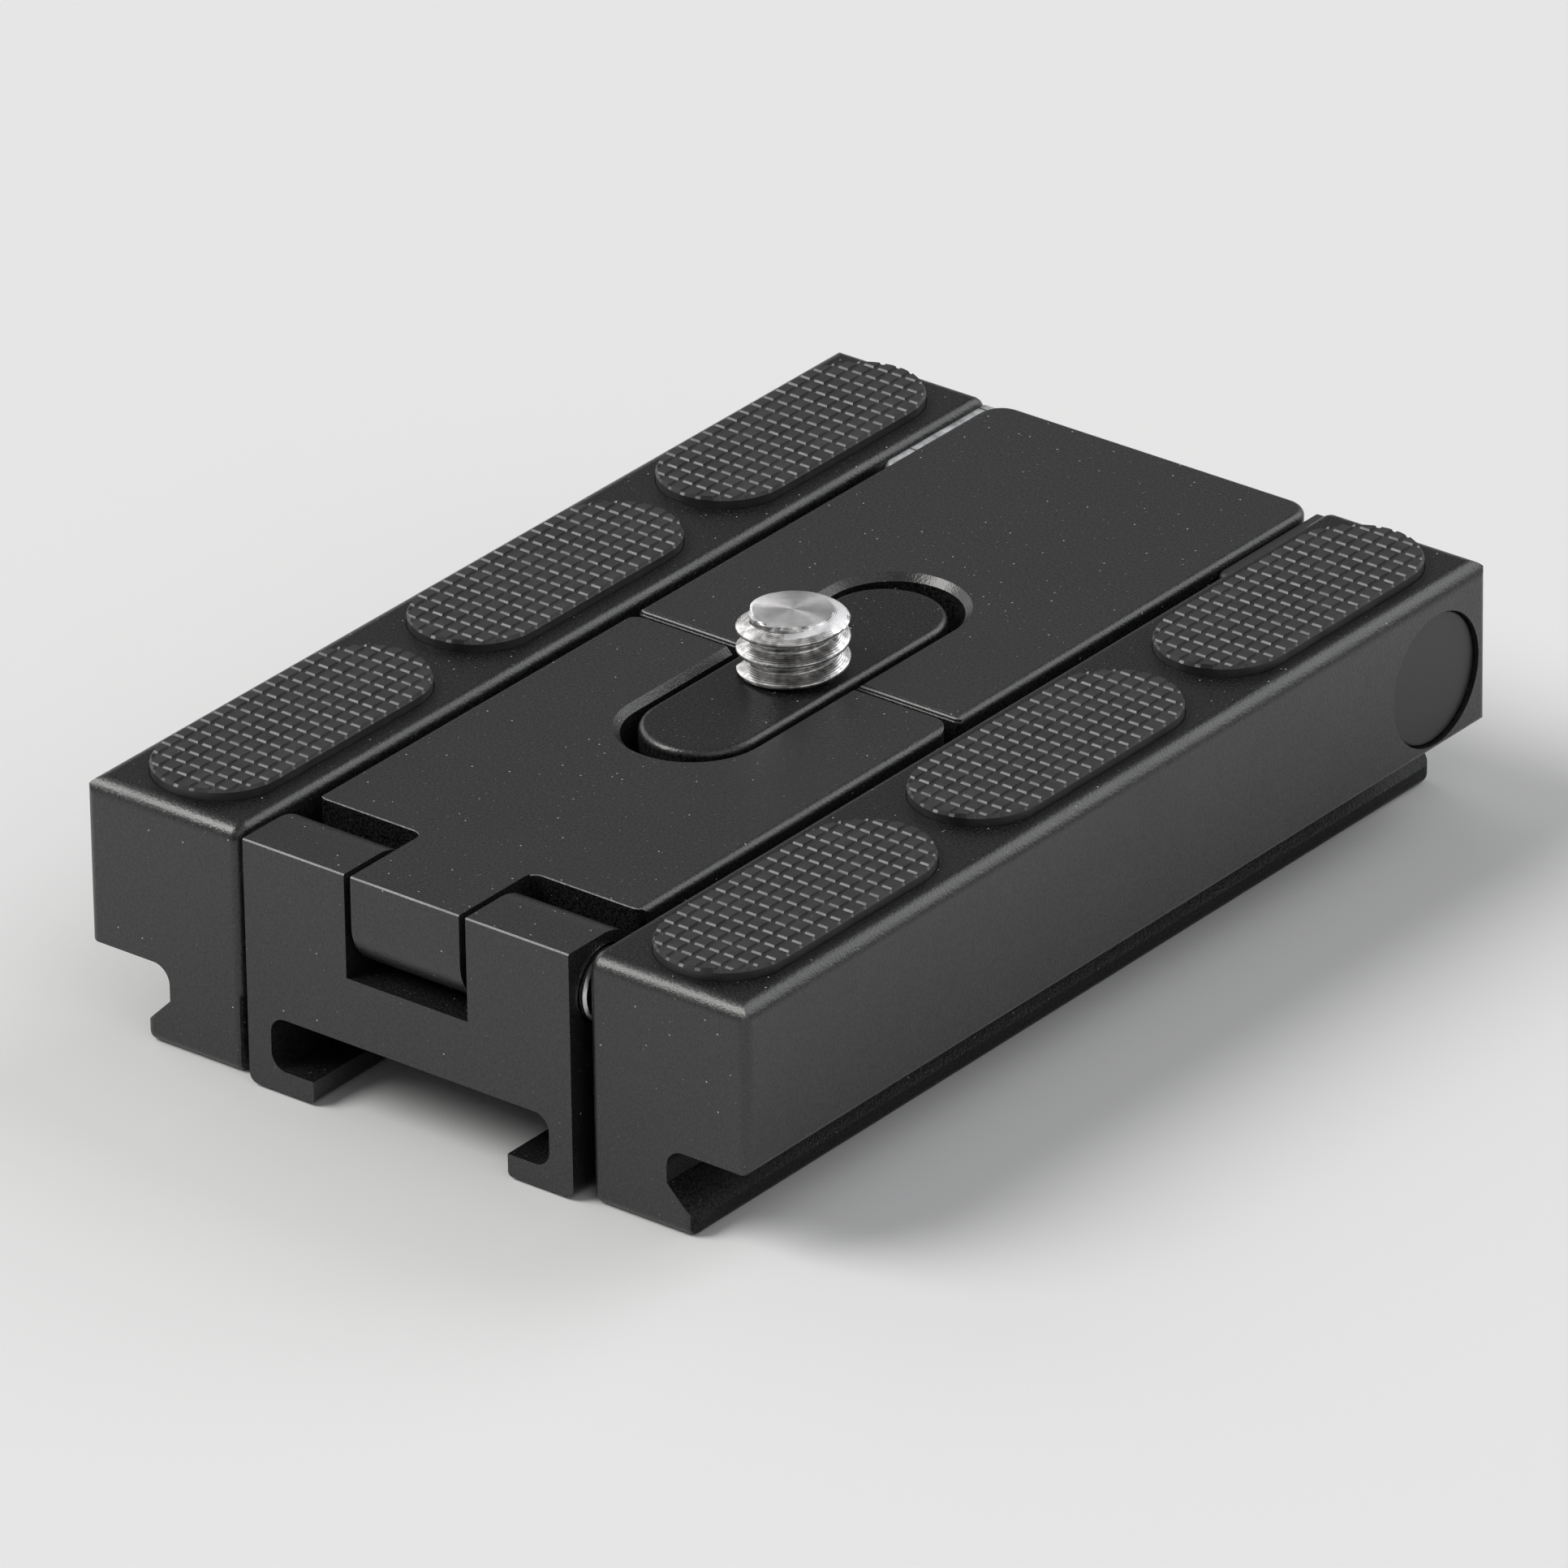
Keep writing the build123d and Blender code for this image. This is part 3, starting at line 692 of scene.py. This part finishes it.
def threaded_screw(node, material, face_material):
    low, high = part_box(node)
    axis = centre_of(node)
    head_radius = (high.x - low.x) / 2
    head_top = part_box("screw_washer")[0].z
    plate_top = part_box("rear_plate")[1].z
    crest_height = plate_top + THREAD_CREST_ABOVE_TOP
    shape = wind_thread(axis, high.z, plate_top - THREAD_START_BELOW_TOP, crest_height)
    open_edges = [e for e in shape.edges if e.is_boundary]
    top_edge = [e for e in open_edges if e.verts[0].co.z > crest_height]
    bottom_edge = [e for e in open_edges if e.verts[0].co.z < crest_height]
    bmesh.ops.contextual_create(shape, geom=top_edge)
    rings = ((NECK_RADIUS, head_top), (head_radius - HEAD_EDGE, head_top),
             (head_radius, head_top - HEAD_EDGE), (head_radius, low.z + HEAD_EDGE),
             (head_radius - HEAD_EDGE, low.z))
    extrude_rings(shape, bottom_edge, axis, rings)
    mesh = mesh_from(shape, "threaded_stud", material, face_material)
    for face in mesh.polygons:
        if face.normal.z > FACED_LEVEL and face.center.z > high.z - FACED_DEPTH:
            face.material_index = 1
    shade_by_angle(mesh, SCREW_SHARP_ANGLE)
    piece = new_piece("threaded_stud", mesh, "screw")
    slot_length = COIN_SLOT_OVERSHOOT * 2 * head_radius
    slot_size = Vector((slot_length, COIN_SLOT_WIDTH, 2 * COIN_SLOT_DEPTH))
    cut_box(piece, Vector((axis.x, axis.y, low.z)), slot_size)
    shade_by_angle(piece.data, SCREW_SHARP_ANGLE)
    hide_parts(node)


# Springs

def closing_spring(node, material):
    """A spring's mesh copied as a rigid piece, carried by the clamp head for the front springs and
    by the backbone for the others.
    """
    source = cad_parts[node]
    mesh = source.data.copy()
    mesh.transform(source.matrix_world)
    mesh.materials.clear()
    mesh.materials.append(material)
    in_front = node.startswith("spring_front")
    body = "clamp_head" if in_front else "backbone"
    piece = new_piece("coil_" + node, mesh, body)
    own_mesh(piece)
    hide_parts(node)


# Scene

def add_camera():
    back = Vector((math.sin(CAMERA_AZIMUTH) * math.cos(CAMERA_ELEVATION),
                   -math.cos(CAMERA_AZIMUTH) * math.cos(CAMERA_ELEVATION),
                   math.sin(CAMERA_ELEVATION)))
    right = Vector((math.cos(CAMERA_AZIMUTH), math.sin(CAMERA_AZIMUTH), 0))
    up = back.cross(right)
    turned_right = right * math.cos(CAMERA_ROLL) + up * math.sin(CAMERA_ROLL)
    turned_up = back.cross(turned_right)
    data = bpy.data.cameras.new("camera")
    data.sensor_width = SENSOR_WIDTH
    data.lens = FOCAL_PIXELS * SENSOR_WIDTH / PHOTO_WIDTH
    data.clip_start = 0.01
    data.clip_end = 20
    camera = link_object("camera", data)
    place = CAMERA_TARGET + back * CAMERA_DISTANCE
    for column, vector in enumerate((turned_right, turned_up, back, place)):
        for row in range(3):
            camera.matrix_world[row][column] = vector[row]
    bpy.context.scene.camera = camera


def add_sun(name, direction, strength, spread, colour):
    data = bpy.data.lights.new(name, "SUN")
    data.energy = strength
    data.angle = math.radians(spread)
    data.color = colour
    lamp = link_object(name, data)
    lamp.rotation_euler = Vector(direction).to_track_quat("Z", "Y").to_euler()


def add_sky():
    """An even pale sky with a dark side, which metal shows as its dark middle."""
    world = bpy.data.worlds.new("studio")
    bpy.context.scene.world = world
    world.use_nodes = True
    nodes = world.node_tree.nodes
    links = world.node_tree.links
    place = nodes.new("ShaderNodeTexCoord")
    towards = nodes.new("ShaderNodeVectorMath")
    towards.operation = "DOT_PRODUCT"
    towards.inputs[1].default_value = Vector(SKY_DARK_DIRECTION).normalized()
    links.new(place.outputs["Generated"], towards.inputs[0])
    fade = nodes.new("ShaderNodeMapRange")
    fade.interpolation_type = "SMOOTHSTEP"
    fade.inputs["From Min"].default_value = SKY_DARK_OUTER
    fade.inputs["From Max"].default_value = SKY_DARK_INNER
    fade.inputs["To Min"].default_value = SKY_STRENGTH
    fade.inputs["To Max"].default_value = SKY_DARK_STRENGTH
    links.new(towards.outputs["Value"], fade.inputs["Value"])
    links.new(fade.outputs["Result"], nodes["Background"].inputs["Strength"])
    nodes["Background"].inputs["Color"].default_value = (1.0, 1.0, 1.0, 1.0)


def add_floor():
    shading = Shading("floor_pale")
    shading.set(Roughness=FLOOR_ROUGHNESS)
    cloud = shading.noise(FLOOR_CLOUD)
    material = shading.finish(shading.mix(cloud, FLOOR_DARK, FLOOR_LIGHT))
    shape = bmesh.new()
    bmesh.ops.create_circle(shape, cap_ends=True, segments=FLOOR_SEGMENTS, radius=FLOOR_RADIUS)
    floor = link_object("floor", mesh_from(shape, "floor", material))
    floor.location.z = CAD_BOX[0][2]


add_camera()
for light in LIGHTS:
    add_sun(*light)
add_sky()
add_floor()

# Painted shade on the notch walls and a painted highlight along their top edges
black = blasted_black("anodised_black", notch_shade_and_highlight)
# Tool marks and painted highlight lines on the seam's chamfer
black_ridged_highlights = blasted_black("anodised_black_ridged_highlights", seam_ridges_and_highlights)
# Painted shade on the rails' level faces and feet
black_rails = blasted_black("anodised_black_rails", rails_painted_shade)
black_rubber = rubber("rubber_black")
screw_metal = metal("stainless_turned", "camera_screw", colour=(0.92, 0.91, 0.90),
                    roughness=0.28, ring_pitch=0.12 * MM, anisotropy=0.5, stain=0.45)
screw_face = metal("stainless_faced", "camera_screw", colour=(0.86, 0.85, 0.86),
                   roughness=0.36, ring_pitch=0.10 * MM, anisotropy=0.82, stain=0.90)
pivot_metal = metal("steel_turned", "pivot_screw_right", colour=(0.50, 0.50, 0.50),
                    roughness=0.33, ring_pitch=0.2 * MM)
rod_metal = metal("rod_steel", "guide_rod_right", colour=(0.60, 0.60, 0.60),
                  roughness=0.24, ring_pitch=0.3 * MM)
pin_metal = metal("pin_steel", "hinge_pin", colour=(0.66, 0.66, 0.66),
                  roughness=0.28, ring_pitch=0.2 * MM)
spring_metal = metal("spring_wire", "spring_front_left", colour=(0.42, 0.41, 0.40),
                     roughness=0.35, ring_pitch=0.1 * MM)
brass_metal = metal("brass_bushing", "rod_bushing_front_left", colour=(0.62, 0.43, 0.17),
                    roughness=0.32, ring_pitch=0.2 * MM)
# Black nylon for the screw washer, and painted shade on the right friction washer
nylon_and_painted_shade = plastic("nylon_black", (0.020, 0.020, 0.020), (0.032, 0.032, 0.032), 0.5)
cap_plastic = plastic("cap_plastic", (0.014, 0.014, 0.014), (0.026, 0.026, 0.026), 0.38)
acetal = lined_acetal("acetal_white", "friction_washer_left")

# Material of each node, by the start of the node's name
FINISHES = {
    "body": black_rails,
    "front_plate": black,
    "shoe_jaw": black,
    "rear_plate": black_ridged_highlights,
    "pad_": black_rubber,
    "jaw_pad": black_rubber,
    "camera_screw": screw_metal,
    "pivot_screw": pivot_metal,
    "guide_rod": rod_metal,
    "hinge_": pin_metal,
    "spring_": spring_metal,
    "rod_bushing": brass_metal,
    "pivot_cap": cap_plastic,
    "friction_washer_left": acetal,
    # Painted shade: the right friction washer, a twin of the acetal left one, gets black nylon for
    # the shaded gap it sits in
    "friction_washer_right": nylon_and_painted_shade,
    "screw_washer": nylon_and_painted_shade,
}

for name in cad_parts:
    material = next(FINISHES[start] for start in FINISHES if name.startswith(start))
    dress(name, material)
    if name.startswith("pad_"):
        waffle_pad(name, material)
    elif name == "camera_screw":
        threaded_screw(name, material, screw_face)
    elif name.startswith("spring_"):
        closing_spring(name, material)

bpy.context.scene.view_settings.view_transform = "Standard"
